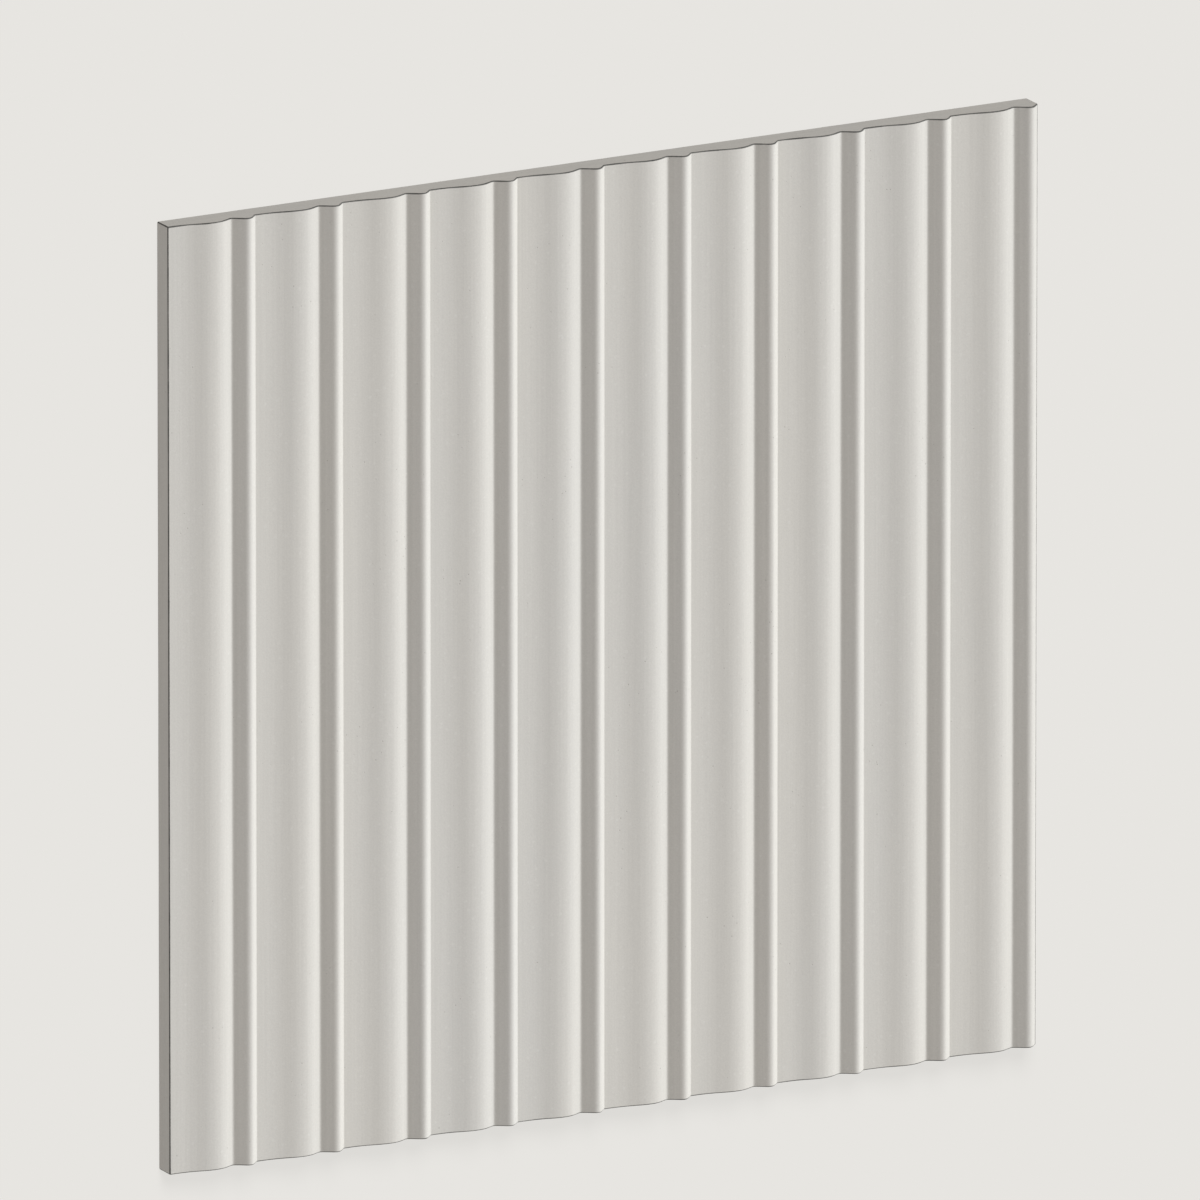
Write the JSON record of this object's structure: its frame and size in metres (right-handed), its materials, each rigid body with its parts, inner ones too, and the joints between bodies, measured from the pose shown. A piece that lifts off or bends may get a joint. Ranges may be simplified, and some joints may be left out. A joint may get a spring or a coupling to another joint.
{
  "type": "fluted stone wall panel",
  "caption": "Square stone panel that faces a wall: a flat sawn back, and a fluted front of broad low waves and narrow ridges that run its full length.",
  "frame": {"origin": "middle of the flat back face, in the plane of the wall", "axes": "+Z out of the wall through the fluted face, +Y along the flutes towards the upper end, +X across the flutes, from each broad wave to its narrow ridge"},
  "size_m": [0.6, 0.6, 0.0194],
  "materials": {
    "stone": "matte"
  },
  "bodies": {
    "root": {"fluted_panel": "stone"}
  },
  "joints": []
}
